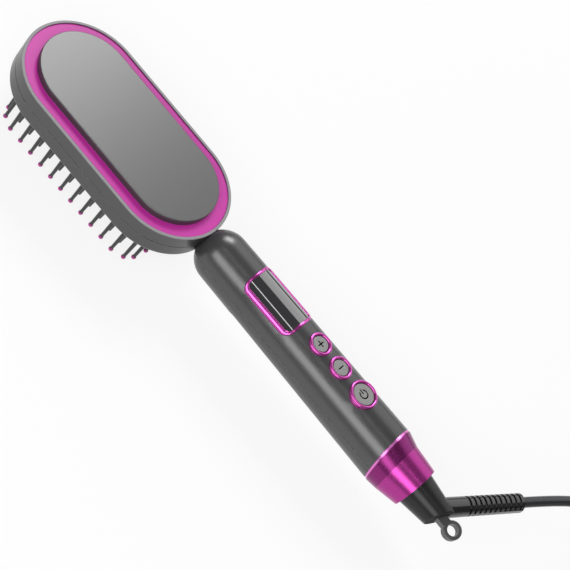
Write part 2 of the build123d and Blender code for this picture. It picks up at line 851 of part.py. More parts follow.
wire_pair = [heater_wire(-wire_gap), heater_wire(wire_gap)]
with BuildPart() as heater_wires:
    for lead in wire_pair:
        add(lead)
save(heater_wires, "heater_wires")

# ------------------------------------------------------------------ collar and swivel
sleeve_radius = handle_radius(along(collar_start)) - handle_wall - 0.3
sleeve_bore = sleeve_radius - sleeve_wall
chamfer_x = along(collar_start + collar_chamfer)


def collar_section(plane, radius, angle):
    """Section of the collar's outside on a leaning plane, round when seen along the handle."""
    with BuildSketch(plane) as section:
        Ellipse(radius / math.cos(math.radians(angle)), radius)
    return section.sketch


collar_sections = [
    collar_section(
        tilted(along(collar_start) + seat_gap, collar_tilt), tail_radius - 2 * collar_proud, collar_tilt
    ),
    collar_section(tilted(chamfer_x, collar_tilt), tail_radius + collar_proud, collar_tilt),
    collar_section(tilted(along(crease_start), crease_tilt, crease_drop), crease_radius, crease_tilt),
    collar_section(across(along(collar_end)), collar_end_radius, 0),
]
with BuildPart() as tail_collar:
    for first, second in zip(collar_sections, collar_sections[1:]):
        loft(sections=[first.faces()[0], second.faces()[0]], ruled=True)
    add(
        bar_along_x(
            along(collar_start - sleeve_length), 0, axis_z, sleeve_radius, 2 * sleeve_length
        )
    )
    add(
        bar_along_x(
            along(collar_start - sleeve_length), 0, axis_z, sleeve_bore, land_start - collar_start + sleeve_length
        ),
        mode=Mode.SUBTRACT,
    )
    add(bar_along_x(along(land_start), 0, axis_z, stem_radius + stem_clearance, far), mode=Mode.SUBTRACT)
    add(
        bar_along_x(along(land_end), 0, axis_z, tail_base_radius + recess_clearance, far),
        mode=Mode.SUBTRACT,
    )
save(tail_collar, "tail_collar")

relief_turn = math.radians(relief_angle)
relief_dir = Vector(math.cos(relief_turn), math.sin(relief_turn), 0)
relief_start = Vector(along(relief_foot), 0, axis_z)


def relief_plane(distance):
    """Plane square to the relief's axis, at a distance from the handle's axis."""
    return Plane(origin=relief_start + relief_dir * distance, x_dir=(0, 0, 1), z_dir=relief_dir)


def relief_drum(start, length, radius, end_radius):
    """Slightly tapered drum on the relief's axis."""
    with BuildPart() as drum:
        with BuildSketch(relief_plane(start)):
            Circle(radius)
        with BuildSketch(relief_plane(start + length)):
            Circle(end_radius)
        loft()
    return drum.part


tail_base_x = along(land_end) + recess_clearance
tail_length = along(tail_face_x) - tail_base_x + tail_base_radius
face_normal = Vector(1, -tail_face_slope, 0).normalized()
tail_face = Plane(origin=(along(tail_face_x), 0, axis_z), x_dir=(0, 0, 1), z_dir=face_normal)
relief_bore = relief_drum(0, far / 4, relief_root_radius + seat_gap, relief_root_radius + seat_gap)
clip_x = along(land_start) - clip_thickness - 0.3
with BuildPart() as swivel_tail:
    with BuildSketch(across(tail_base_x)):
        Circle(tail_base_radius)
    with BuildSketch(across(tail_base_x + tail_length)):
        Circle(tail_base_radius - tail_cone_slope * tail_length)
    loft()
    split(bisect_by=tail_face, keep=Keep.BOTTOM)
    fillet(swivel_tail.faces().sort_by(Axis(tail_face.origin, face_normal))[-1].edges(), 0.7)
    add(bar_along_x(along(stem_end), 0, axis_z, stem_radius, tail_base_x - along(stem_end)))
    with BuildSketch(across(clip_x - seat_gap)):
        Circle(stem_radius + 1)
        Circle(clip_seat, mode=Mode.SUBTRACT)
    extrude(amount=clip_thickness + 2 * seat_gap, mode=Mode.SUBTRACT)
    add(
        bar_along_x(along(stem_end), 0, axis_z, stem_bore, relief_foot - stem_end), mode=Mode.SUBTRACT
    )
    add(relief_bore, mode=Mode.SUBTRACT)
save(swivel_tail, "swivel_tail")

with BuildPart() as swivel_clip:
    with BuildSketch(across(clip_x)):
        Circle(clip_radius)
        Circle(clip_seat + seat_gap, mode=Mode.SUBTRACT)
        with Locations((0, -clip_radius)):
            Rectangle(clip_seat, clip_radius, mode=Mode.SUBTRACT)
    extrude(amount=clip_thickness)
save(swivel_clip, "swivel_clip")

spool_x = along(stem_end) - spool_length
with BuildPart() as slip_ring_spool:
    add(bar_along_x(spool_x, 0, axis_z, spool_radius, spool_length))
    add(bar_along_x(along(stem_end), 0, axis_z, stem_bore - seat_gap, spool_plug))
save(slip_ring_spool, "slip_ring_spool")

slip_xs = [spool_x + slip_ring_width + step * slip_ring_pitch for step in range(2)]
with BuildPart() as slip_rings:
    for x in slip_xs:
        with BuildSketch(across(x)):
            Circle(spool_radius + slip_ring_wall)
            Circle(spool_radius, mode=Mode.SUBTRACT)
        extrude(amount=slip_ring_width)
save(slip_rings, "slip_rings")

brush_low = axis_z + spool_radius + slip_ring_wall + brush_gap
brush_height = 2.6
with BuildPart() as contact_brushes:
    for x in slip_xs:
        with BuildSketch(Plane((x + slip_ring_width / 2, 0, brush_low))):
            Rectangle(slip_ring_width * 0.8, 3.0)
        extrude(amount=brush_height)
save(contact_brushes, "contact_brushes")

block_low = brush_low + brush_height
with BuildPart() as contact_block:
    with BuildSketch(Plane((spool_x + spool_length / 2 - 1, 0, block_low))):
        Rectangle(spool_length - 2, 11.0)
    extrude(amount=far)
    add(
        bar_along_x(along(stem_end) - 2 * spool_length, 0, axis_z, sleeve_bore - seat_gap, far),
        mode=Mode.INTERSECT,
    )
save(contact_block, "contact_block")


def supply_wire(y):
    """One lead from the contact block forward and down to the board's end."""
    block_x = spool_x
    board_end = along(board_start + board_length) + wire_radius / 2
    return wire(
        [
            (block_x - wire_radius / 2, y / 2, block_low + 0.9),
            ((block_x + board_end) / 2, y, block_low - 3.5),
            (board_end, y, board_z + board_thickness / 2),
        ],
        3.0,
    )


supply_pair = [supply_wire(-4.4), supply_wire(4.4)]
with BuildPart() as supply_wires:
    for lead in supply_pair:
        add(lead)
save(supply_wires, "supply_wires")

with BuildPart() as inner_leads:
    for y in (-wire_gap, wire_gap):
        add(
            bar_along_x(
                along(stem_end) + spool_plug + seat_gap, y, axis_z, wire_radius,
                relief_foot - stem_end - spool_plug - inner_lead_end,
            )
        )
save(inner_leads, "inner_leads")

# ------------------------------------------------------------------ hanging loop
roll = math.radians(loop_roll)
loop_plane = Plane(
    origin=(along(loop_x), 0, axis_z), x_dir=(1, 0, 0), z_dir=(0, -math.sin(roll), math.cos(roll))
)
loop_low = loop_plane.offset(-loop_thickness / 2)
with BuildPart() as hang_loop:
    with BuildSketch(loop_low):
        Circle(loop_radius)
        with Locations((-loop_radius, 0)):
            Rectangle(2 * loop_radius, loop_neck_width)
        Circle(loop_bore, mode=Mode.SUBTRACT)
    extrude(amount=loop_thickness)
    fillet(hang_loop.edges().filter_by(GeomType.CIRCLE).group_by(SortBy.RADIUS)[-1], 0.5)
    split(bisect_by=tail_face.offset(seat_gap), keep=Keep.TOP)
    add(
        relief_drum(0, relief_plain, relief_root_radius + seat_gap, relief_root_radius + seat_gap),
        mode=Mode.SUBTRACT,
    )
save(hang_loop, "hang_loop")

# ------------------------------------------------------------------ strain relief
relief_taper = (relief_root_radius - relief_tip_radius) / relief_length
rib_pitch = (relief_length - relief_plain) / rib_count


def relief_radius(distance):
    """Outer radius of the relief at a distance along its axis."""
    return relief_root_radius - relief_taper * distance


rib_solids = []
for step in range(rib_count):
    rib_end = relief_plain + (step + 1) * rib_pitch
    rib_start = rib_end - rib_share * rib_pitch
    rib_solids.append(
        relief_drum(rib_start, rib_end - rib_start, relief_radius(rib_start), relief_radius(rib_end))
    )
plain_barrel = relief_drum(1.0, relief_plain - 1.0, relief_radius(0), relief_radius(relief_plain))
relief_core = relief_drum(1.0, relief_length - 1.0, relief_core_radius, relief_core_radius)
spine_plane = relief_plane(relief_plain / 2)
with BuildPart() as strain_relief:
    add(plain_barrel)
    add(relief_core)
    for rib in rib_solids:
        add(rib)
    with BuildSketch(spine_plane):
        with Locations((0, relief_core_radius)):
            Rectangle(spine_width, 2 * (relief_tip_radius - relief_core_radius))
    extrude(amount=relief_length - relief_plain / 2)
save(strain_relief, "strain_relief")

# ------------------------------------------------------------------ cord
# The cord leaves the relief level, sinks to the surface and runs into a flat two-level coil.
# The route's points are (distance along the relief's heading, distance to its right, height).
sink_points = [
    (22.0, 0.0, axis_z), (45.0, 1.0, 25.5), (67.0, 6.6, 11.5), (86.5, 13.8, cord_radius + 2 * floor_gap)
]
lead_in = 16.4             # from the route's last point to the coil's outer turn
end_run = 8.85             # each of the two short runs between the coil and the plug
end_free = 34.2            # from the coil's last turn to the plug's neck
end_clear = 16.5           # part of it that still lies over the coil

relief_end = relief_start + relief_dir * relief_length
right_hand = Vector(relief_dir.Y, -relief_dir.X, 0)
coil_inner = coil_outer_turn - coil_pitch * coil_turns / 2 - cord_radius
coil_outer = coil_outer_turn + cord_radius
coil_height = coil_pitch + 2 * cord_radius
plug_z = plug_body_size[1] / 2 + floor_gap


def tube(points, name):
    """Cord along straight runs joined by arcs as large as their runs allow."""
    corners = [Vector(*point) for point in points]
    radii = []
    for before, corner, after in zip(corners, corners[1:], corners[2:]):
        turn = math.radians((corner - before).get_angle(after - corner))
        shorter = min((corner - before).length, (after - corner).length)
        radii.append(0.45 * shorter / math.tan(turn / 2))
    with BuildPart() as hose:
        with BuildLine() as path:
            FilletPolyline(*points, radius=radii)
        with BuildSketch(Plane(origin=path.line @ 0, z_dir=path.line % 0)):
            Circle(cord_radius)
        sweep()
    run_length = sum(edge.length for edge in path.edges())
    expected = math.pi * cord_radius**2 * run_length
    print(name, "radii", [round(r, 1) for r in radii], "length", round(run_length, 1))
    print(name, "volume", round(hose.part.volume, 1), "expected", round(expected, 1))
    save(hose, name)
    return run_length


route = [tuple(relief_end)]
for distance, aside, height in sink_points:
    spot = relief_end + relief_dir * distance + right_hand * aside
    route.append((spot.X, spot.Y, height))
lead_length = tube(route, "cord")

last_run = Vector(route[-1][0] - route[-2][0], route[-1][1] - route[-2][1], 0).normalized()
coil_start = Vector(route[-1][0], route[-1][1], 0) + last_run * lead_in
coil_centre = coil_start + Vector(last_run.Y, -last_run.X, 0) * coil_outer_turn
with BuildPart() as cord_coil:
    with BuildSketch(Plane((coil_centre.X, coil_centre.Y, floor_gap))):
        Circle(coil_outer)
        Circle(coil_inner, mode=Mode.SUBTRACT)
    extrude(amount=coil_height)
save(cord_coil, "cord_coil")

plug_x = coil_centre.X + coil_outer_turn
neck_y = coil_centre.Y - end_free
end_length = tube(
    [
        (plug_x, neck_y + 2 * end_run, coil_pitch + cord_radius),
        (plug_x, neck_y + end_run, plug_z),
        (plug_x, neck_y, plug_z),
    ],
    "cord_end",
)


def plug_plane(distance):
    """Plane across the plug, a distance from the back of its neck towards its pins."""
    return Plane(origin=(plug_x, neck_y - distance, plug_z), x_dir=(1, 0, 0), z_dir=(0, -1, 0))


with BuildPart() as plug_body:
    with BuildSketch(plug_plane(0)):
        Circle(plug_neck_radius[0])
    with BuildSketch(plug_plane(plug_neck_length)):
        Circle(plug_neck_radius[1])
    loft()
    with BuildSketch(plug_plane(plug_neck_length)):
        RectangleRounded(plug_body_size[0] * 0.6, plug_body_size[1] * 0.85, 4.5)
    with BuildSketch(plug_plane(plug_neck_length + plug_body_size[2])):
        RectangleRounded(plug_body_size[0], plug_body_size[1], 5.5)
    loft()
save(plug_body, "plug_body")

with BuildPart() as plug_pins:
    with BuildSketch(plug_plane(plug_neck_length + plug_body_size[2])):
        with Locations((-plug_pin_spacing / 2, 0), (plug_pin_spacing / 2, 0)):
            Circle(plug_pin_radius)
    extrude(amount=plug_pin_length)
    fillet(plug_pins.faces().sort_by(Axis.Y)[:2].edges(), plug_pin_radius / 2)
save(plug_pins, "plug_pins")

mean_turn = coil_outer_turn - coil_pitch * coil_turns / 4
coiled = 2 * math.pi * mean_turn * coil_turns
whole = lead_length + lead_in + coiled + end_free
print("cord: lead", round(lead_length, 1), "coiled", round(coiled, 1), "whole", round(whole, 1),
      "wanted", cord_length)
coil_angle = math.degrees(math.atan2(last_run.Y, last_run.X)) + 90
print("coil centre", coil_centre, "start", round(coil_angle, 2), "plug", round(plug_x, 2), round(neck_y, 2))
print("overall length without the cord", round(overall_length, 2), "head_x", round(head_x, 2))
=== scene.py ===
# %% [markdown]
# # A hot comb, dressed and lit
# This lesson takes a finished engineering model of a heated hair-straightening brush and gives it its looks.
# The model is loaded as a fixed frame: every casing, key and pin already sits where it belongs, at its real
# size in metres. Blender could move or reshape them, but then the moving parts would no longer fit, so all
# the work here goes into finishes, the mains lead, the bead round the window, the lights and the camera.

# %% Load the frame
import math
import bpy
from mathutils import Matrix, Quaternion, Vector


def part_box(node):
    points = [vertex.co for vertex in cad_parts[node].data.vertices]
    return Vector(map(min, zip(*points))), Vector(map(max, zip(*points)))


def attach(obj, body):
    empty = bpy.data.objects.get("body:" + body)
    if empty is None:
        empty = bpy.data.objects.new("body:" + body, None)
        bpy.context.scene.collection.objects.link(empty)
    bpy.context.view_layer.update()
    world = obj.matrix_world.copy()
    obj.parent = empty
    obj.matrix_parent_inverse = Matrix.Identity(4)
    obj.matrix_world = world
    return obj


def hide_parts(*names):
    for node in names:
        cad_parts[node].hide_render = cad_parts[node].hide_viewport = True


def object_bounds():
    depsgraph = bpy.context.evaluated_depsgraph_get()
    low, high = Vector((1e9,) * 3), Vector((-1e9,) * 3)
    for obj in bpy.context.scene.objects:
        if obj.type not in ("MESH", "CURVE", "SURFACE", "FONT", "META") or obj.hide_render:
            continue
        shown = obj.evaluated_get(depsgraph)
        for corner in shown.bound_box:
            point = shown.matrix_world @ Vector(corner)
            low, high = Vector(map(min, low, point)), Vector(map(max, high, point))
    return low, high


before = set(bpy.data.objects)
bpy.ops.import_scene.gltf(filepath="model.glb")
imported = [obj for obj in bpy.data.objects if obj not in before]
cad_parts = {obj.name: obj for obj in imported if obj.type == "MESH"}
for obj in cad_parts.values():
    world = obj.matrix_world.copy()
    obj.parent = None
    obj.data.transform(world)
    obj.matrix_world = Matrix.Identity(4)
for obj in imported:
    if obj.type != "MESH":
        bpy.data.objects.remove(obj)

MM = 0.001
cad_box = [list(corner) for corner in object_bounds()]

# %% [markdown]
# ## The camera
# A brush this slim looks best from above and in front, rolled so that it runs across the picture from corner
# to corner. The roll could be typed in as Euler angles, but a position, a point to look at and one angle of
# roll are easier to change later, so the rotation is worked out from those three.

# %% Camera
camera_place = Vector((0.0444, -0.5597, 0.6678))
camera_aim = Vector((0.0119, 0.0200, 0.0282))
camera_roll = math.radians(47.6)
SENSOR_WIDTH, LENS = 36.0, 111.04
camera_data = bpy.data.cameras.new("studio_camera")
camera_data.sensor_width = SENSOR_WIDTH
camera_data.lens = LENS
camera = bpy.data.objects.new("studio_camera", camera_data)
bpy.context.scene.collection.objects.link(camera)
camera.location = camera_place
camera.rotation_mode = "QUATERNION"
look = (camera_aim - camera_place).to_track_quat("-Z", "Y")
camera.rotation_quaternion = look @ Quaternion((0, 0, 1), camera_roll)
bpy.context.scene.camera = camera
print("camera at", tuple(round(c, 3) for c in camera_place), "lens", LENS, "mm")

# %% [markdown]
# ## The mains lead
# The lead leaves the strain relief, droops to the table and is wound into a flat coil of two levels, which is
# how a lead is put away. It could be a mesh swept along a curve, but one NURBS spline keeps the line smooth
# everywhere and needs only a few points. The coil is a spiral that winds in on the table, steps up by one
# diameter and winds out again on top, so that the plug end comes away on the outside.

# %% Lead route
CORD_DIAMETER = 5.5 * MM
relief_tip = Vector((169.30, 46.27, 28.2)) * MM
lead_heading = Vector((0.52844, 0.84897, 0.0))
lead_right = Vector((lead_heading.y, -lead_heading.x, 0.0))
# How far along the heading from the tip, how far to its right, and how high, in millimetres.
lead_steps = ((22.0, 0.0, 28.2), (45.0, 1.0, 25.5), (67.0, 6.6, 11.5), (86.5, 13.8, 2.95))
coil_centre = Vector((265.93, 88.67, 0.0)) * MM
coil_outside = 42.8
coil_pitch = 5.6
coil_turns = 8.355
coil_start = math.radians(127.83)
coil_low, coil_high = 2.85, 8.45
step_from, step_to = 3.96, 4.46
points_per_turn = 16
plug_steps = ((308.73, 72.17, 8.35), (308.73, 63.32, 6.95), (308.73, 54.47, 6.95))


def coil_point(turn):
    """The lead's centre after so many turns of the coil, wound clockwise seen from above."""
    radius = coil_outside - coil_pitch * min(turn, coil_turns - turn)
    angle = coil_start - 2 * math.pi * turn
    climb = min(max((turn - step_from) / (step_to - step_from), 0.0), 1.0)
    height = coil_low + (coil_high - coil_low) * climb * climb * (3 - 2 * climb)
    return coil_centre + Vector((radius * math.cos(angle), radius * math.sin(angle), height)) * MM


route = [relief_tip]
for reach, aside, height in lead_steps:
    point = relief_tip + (lead_heading * reach + lead_right * aside) * MM
    point.z = height * MM
    route.append(point)
coil_count = round(coil_turns * points_per_turn)
route += [coil_point(coil_turns * i / coil_count) for i in range(coil_count + 1)]
route += [Vector(step) * MM for step in plug_steps]
print("lead route:", len(route), "points,", coil_count, "of them in the coil")

# %% [markdown]
# ## The lead as a piece
# The curve is bevelled into a round tube. Each point carries the lead's own radius and the bevel depth is
# one, so the curve's bounds are those of the tube. The order and the endpoint setting are given after the
# points, because a spline that is still empty doesn't keep them.

# %% Lead
lead_curve = bpy.data.curves.new("mains_lead", "CURVE")
lead_curve.dimensions = "3D"
lead_spline = lead_curve.splines.new("NURBS")
lead_spline.points.add(len(route) - 1)
for control, point in zip(lead_spline.points, route):
    control.co = (*point, 1.0)
    control.radius = CORD_DIAMETER / 2
lead_spline.order_u = 3
lead_spline.use_endpoint_u = True
lead_spline.resolution_u = 8
lead_curve.bevel_depth = 1.0
lead_curve.bevel_resolution = 6
lead_curve.use_fill_caps = True
lead = bpy.data.objects.new("mains_lead", lead_curve)
bpy.context.scene.collection.objects.link(lead)
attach(lead, "swivel")
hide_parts("cord", "cord_coil", "cord_end")

# %% [markdown]
# ## Node helpers
# Every finish is a small network of shader nodes. Three helpers keep that short. One makes a node and fills
# in its settings, one joins sockets in pairs, and one makes a node group with named inputs and outputs, so
# that an effect is built once and then placed in many finishes with other values.

# %% Helpers for nodes and groups


def add_node(tree, kind, sockets=None, **settings):
    """Makes a shader node, sets its properties, and fills its input sockets by name or by number."""
    node = tree.nodes.new(kind)
    for name, value in settings.items():
        setattr(node, name, value)
    for name, value in (sockets or {}).items():
        node.inputs[name].default_value = value
    return node


def join(tree, *pairs):
    """Links pairs of sockets, each an output and the input that it feeds."""
    for source, target in pairs:
        tree.links.new(source, target)


def new_group(name, inputs, outputs):
    """An empty shader node group; inputs are name: (kind, value) and outputs are name: kind."""
    tree = bpy.data.node_groups.new(name, "ShaderNodeTree")
    for label, (kind, value) in inputs.items():
        made = tree.interface.new_socket(label, in_out="INPUT", socket_type="NodeSocket" + kind)
        made.default_value = value
    for label, kind in outputs.items():
        tree.interface.new_socket(label, in_out="OUTPUT", socket_type="NodeSocket" + kind)
    return tree, tree.nodes.new("NodeGroupInput"), tree.nodes.new("NodeGroupOutput")


print("node helpers ready")

# %% [markdown]
# ## Moulded surface
# No moulded or painted part is one flat colour. A fine spark-eroded grain breaks up its gloss, and broad,
# faint patches of handling change both its colour and its roughness a little. Two noise fields do that: a
# fine one for height and a broad one for the patches.

# %% Moulded surface group
surface_group, surface_in, surface_out = new_group(
    "Moulded Surface",
    {
        "Colour": ("Color", (0.5, 0.5, 0.5, 1.0)), "Roughness": ("Float", 0.4),
        "Grain Scale": ("Float", 2500.0), "Patch Scale": ("Float", 40.0),
        "Patch Colour": ("Float", 0.08), "Patch Gloss": ("Float", 0.08),
    },
    {"Colour": "Color", "Roughness": "Float", "Height": "Float"},
)
place = add_node(surface_group, "ShaderNodeTexCoord")
grain = add_node(surface_group, "ShaderNodeTexNoise", {"Detail": 3.0, "Roughness": 0.55})
patch = add_node(surface_group, "ShaderNodeTexNoise", {"Detail": 4.0, "Roughness": 0.6})
centred = add_node(surface_group, "ShaderNodeMath", {1: 0.5}, operation="SUBTRACT")
shade = add_node(surface_group, "ShaderNodeMath", {2: 1.0}, operation="MULTIPLY_ADD")
tint = add_node(surface_group, "ShaderNodeHueSaturation")
gloss = add_node(surface_group, "ShaderNodeMath", operation="MULTIPLY_ADD")
join(
    surface_group,
    (place.outputs["Object"], grain.inputs["Vector"]), (place.outputs["Object"], patch.inputs["Vector"]),
    (surface_in.outputs["Grain Scale"], grain.inputs["Scale"]),
    (surface_in.outputs["Patch Scale"], patch.inputs["Scale"]),
    (patch.outputs["Fac"], centred.inputs[0]),
    (centred.outputs[0], shade.inputs[0]), (surface_in.outputs["Patch Colour"], shade.inputs[1]),
    (shade.outputs[0], tint.inputs["Value"]), (surface_in.outputs["Colour"], tint.inputs["Color"]),
    (centred.outputs[0], gloss.inputs[0]), (surface_in.outputs["Patch Gloss"], gloss.inputs[1]),
    (surface_in.outputs["Roughness"], gloss.inputs[2]),
    (tint.outputs["Color"], surface_out.inputs["Colour"]),
    (gloss.outputs[0], surface_out.inputs["Roughness"]),
    (grain.outputs["Fac"], surface_out.inputs["Height"]),
)
print("group:", surface_group.name)

# %% [markdown]
# ## Soft edges
# Moulded edges are never perfectly sharp, and they catch the light as a thin line. The edges could be
# bevelled in the mesh, but the frame's meshes stay as they are. A Bevel node rounds the shading instead, and
# comparing its normal with the true one tells where the edges are. That gives a mask for a painted highlight:
# a lighter colour along the edges that stands in for that thin line of light.

# %% Soft edges group
edge_group, edge_in, edge_out = new_group(
    "Soft Edges",
    {"Radius": ("Float", 0.0004), "Sharpness": ("Float", 0.08)},
    {"Normal": "Vector", "Edge": "Float"},
)
rounded = add_node(edge_group, "ShaderNodeBevel", samples=6)
facing = add_node(edge_group, "ShaderNodeNewGeometry")
match = add_node(edge_group, "ShaderNodeVectorMath", operation="DOT_PRODUCT")
apart = add_node(edge_group, "ShaderNodeMath", {0: 1.0}, operation="SUBTRACT")
masked = add_node(edge_group, "ShaderNodeMath", operation="DIVIDE", use_clamp=True)
join(
    edge_group,
    (edge_in.outputs["Radius"], rounded.inputs["Radius"]),
    (rounded.outputs["Normal"], match.inputs[0]), (facing.outputs["Normal"], match.inputs[1]),
    (match.outputs["Value"], apart.inputs[1]), (apart.outputs[0], masked.inputs[0]),
    (edge_in.outputs["Sharpness"], masked.inputs[1]),
    (rounded.outputs["Normal"], edge_out.inputs["Normal"]), (masked.outputs[0], edge_out.inputs["Edge"]),
)
print("group:", edge_group.name)

# %% [markdown]
# ## Turned lines
# A part that was turned on a lathe carries fine lines that run round it, each a little glossier or duller
# than the next. A stretched noise field does this: round the handle's axis it hardly changes, and along the
# axis it changes fast.

# %% Turned lines group
lines_group, lines_in, lines_out = new_group(
    "Turned Lines",
    {"Lines": ("Float", 9000.0), "Drift": ("Float", 60.0), "Roughness": ("Float", 0.25),
     "Spread": ("Float", 0.1)},
    {"Roughness": "Float"},
)
place = add_node(lines_group, "ShaderNodeTexCoord")
stretch = add_node(lines_group, "ShaderNodeCombineXYZ")
scaled = add_node(lines_group, "ShaderNodeVectorMath", operation="MULTIPLY")
streak = add_node(lines_group, "ShaderNodeTexNoise", {"Scale": 1.0, "Detail": 2.0})
level = add_node(lines_group, "ShaderNodeMath", operation="MULTIPLY_ADD")
join(
    lines_group,
    (lines_in.outputs["Lines"], stretch.inputs["X"]), (lines_in.outputs["Drift"], stretch.inputs["Y"]),
    (lines_in.outputs["Drift"], stretch.inputs["Z"]),
    (place.outputs["Object"], scaled.inputs[0]), (stretch.outputs[0], scaled.inputs[1]),
    (scaled.outputs[0], streak.inputs["Vector"]),
    (streak.outputs["Fac"], level.inputs[0]), (lines_in.outputs["Spread"], level.inputs[1]),
    (lines_in.outputs["Roughness"], level.inputs[2]),
    (level.outputs[0], lines_out.inputs["Roughness"]),
)
print("group:", lines_group.name)

# %% [markdown]
# ## One way to build a finish
# Most finishes here are the same recipe with other numbers: a moulded surface, soft edges with a painted
# highlight in a lighter colour, and a bump for the grain. The function below lays that out and leaves the
# Principled shader's own constants, such as its metallic or coat weight, to be given by name. Polished parts
# go without the bump, and the plating, the turned collar and the soft compounds go without the soft edges.

# %% Finish builder
GRAIN_DEPTH = 0.05 * MM
EDGE_HIGHLIGHT_GAIN, EDGE_HIGHLIGHT_LIFT = 1.8, 0.05


def new_finish(name, colour, roughness, grain=2500.0, bump=0.12, patches=(40.0, 0.1, 0.06),
               edge=(0.4, 0.25), edge_highlight_colour=None, plain=None):
    """A finish from the shared groups; edge is a rounding in millimetres and the strength of its painted
    highlight, or None.
    """
    material = bpy.data.materials.new(name)
    material.use_nodes = True
    tree = material.node_tree
    shader = tree.nodes["Principled BSDF"]
    patch_scale, patch_colour, patch_gloss = patches
    surface = add_node(
        tree, "ShaderNodeGroup",
        {"Colour": (*colour, 1.0), "Roughness": roughness, "Grain Scale": grain, "Patch Scale": patch_scale,
         "Patch Colour": patch_colour, "Patch Gloss": patch_gloss},
        node_tree=surface_group,
    )
    join(tree, (surface.outputs["Roughness"], shader.inputs["Roughness"]))
    normal = shader.inputs["Normal"]
    if bump:
        relief = add_node(tree, "ShaderNodeBump", {"Strength": bump, "Distance": GRAIN_DEPTH})
        join(tree, (surface.outputs["Height"], relief.inputs["Height"]), (relief.outputs["Normal"], normal))
        normal = relief.inputs["Normal"]
    if edge:
        rounding, share = edge
        edges = add_node(tree, "ShaderNodeGroup", {"Radius": rounding * MM}, node_tree=edge_group)
        strength = add_node(tree, "ShaderNodeMath", {1: share}, operation="MULTIPLY")
        # The lighter edge colour mixed in here is a painted highlight along the soft edges.
        edge_highlight = add_node(tree, "ShaderNodeMix", data_type="RGBA")
        highlight_colour = edge_highlight_colour or tuple(min(1.0, EDGE_HIGHLIGHT_GAIN * c + EDGE_HIGHLIGHT_LIFT) for c in colour)
        edge_highlight.inputs["B"].default_value = (*highlight_colour, 1.0)
        join(
            tree, (edges.outputs["Edge"], strength.inputs[0]), (strength.outputs[0], edge_highlight.inputs["Factor"]),
            (surface.outputs["Colour"], edge_highlight.inputs["A"]),
            (edge_highlight.outputs["Result"], shader.inputs["Base Color"]), (edges.outputs["Normal"], normal),
        )
    else:
        join(tree, (surface.outputs["Colour"], shader.inputs["Base Color"]))
    for socket, value in (plain or {}).items():
        shader.inputs[socket].default_value = value
    return material


print("finish builder ready")

# %% [markdown]
# ## Dressing the frame
# The frame's meshes are shared with the engineering model, so a finish isn't put on the mesh. Each object's
# own material slots take it instead, and a set of names tells at the end whether any part was forgotten. The
# lead already stands in for three of them.

# %% Dresser
dressed = {"cord", "cord_coil", "cord_end"}


def dress(material, *names):
    """Gives the frame's nodes a finish, through the material slots of their own objects."""
    for name in names:
        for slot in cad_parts[name].material_slots:
            slot.link = "OBJECT"
            slot.material = material
        dressed.add(name)
    print(material.name, "on", ", ".join(names))


print("the lead stands for", ", ".join(sorted(dressed)))

# %% [markdown]
# ## The casing
# The two head shells and the two handle shells are moulded plastic with a satin gunmetal paint: fine metal
# flake in a clear binder. Some metallic weight gives the flake its soft, wide highlights, the grain keeps it
# from looking like polished metal, and a paler grey along its soft edges is a painted highlight. The grip
# panel is plain plastic of nearly the same grey, so it is rougher and less metallic, with a painted edge
# highlight of its own.

# %% Casing finish
GUNMETAL = (0.096, 0.095, 0.097)
PAINT_METALLIC = 0.60
casing_finish = new_finish(
    "satin_gunmetal_paint", GUNMETAL, 0.31, grain=3200.0, bump=0.10, patches=(26.0, 0.10, 0.05),
    edge=(0.25, 0.45), edge_highlight_colour=(0.36, 0.36, 0.37),
    plain={"Metallic": PAINT_METALLIC, "Specular IOR Level": 0.5},
)
dress(casing_finish, "head_front_shell", "handle_upper_shell", "handle_lower_shell")
grip_finish = new_finish(
    "satin_grip_plastic", (0.085, 0.085, 0.088), 0.42, grain=2600.0, bump=0.16,
    edge=(0.3, 0.4), edge_highlight_colour=(0.26, 0.26, 0.27), plain={"Metallic": 0.35},
)
dress(grip_finish, "grip_panel")

# %% [markdown]
# ## The lip's painted highlight
# The lip that borders the coloured channel is painted pale and matt: the pale colour is a painted highlight
# that draws a thin light line all round the head. It belongs to the same shell, so a second material would
# need its own faces. A mask by height does it without them: the last fraction of a millimetre below the
# shell's top turns pale and matt.

# %% Lip finish
LIP_DEPTH, LIP_FADE = 0.5 * MM, 0.4 * MM
# The pale lip colour is a painted highlight; its roughness and metallic are the lip's own.
LIP_HIGHLIGHT_COLOUR, LIP_ROUGHNESS, LIP_METALLIC = (0.27, 0.262, 0.275, 1.0), 0.62, 0.15
lip_finish = casing_finish.copy()
lip_finish.name = "satin_gunmetal_with_lip"
lip_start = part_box("head_back_shell")[1][2] - LIP_DEPTH
lip_tree = lip_finish.node_tree
lip_shader = lip_tree.nodes["Principled BSDF"]
painted = lip_shader.inputs["Base Color"].links[0].from_socket
satin = lip_shader.inputs["Roughness"].links[0].from_socket
place = add_node(lip_tree, "ShaderNodeTexCoord")
split = add_node(lip_tree, "ShaderNodeSeparateXYZ")
mask = add_node(lip_tree, "ShaderNodeMapRange", {"From Min": lip_start, "From Max": lip_start + LIP_FADE})
painted_lip_highlight = add_node(lip_tree, "ShaderNodeMix", data_type="RGBA")
painted_lip_highlight.inputs["B"].default_value = LIP_HIGHLIGHT_COLOUR
matt = add_node(lip_tree, "ShaderNodeMix", {3: LIP_ROUGHNESS})
lip_metal_level = add_node(lip_tree, "ShaderNodeMapRange", {"To Min": PAINT_METALLIC, "To Max": LIP_METALLIC})
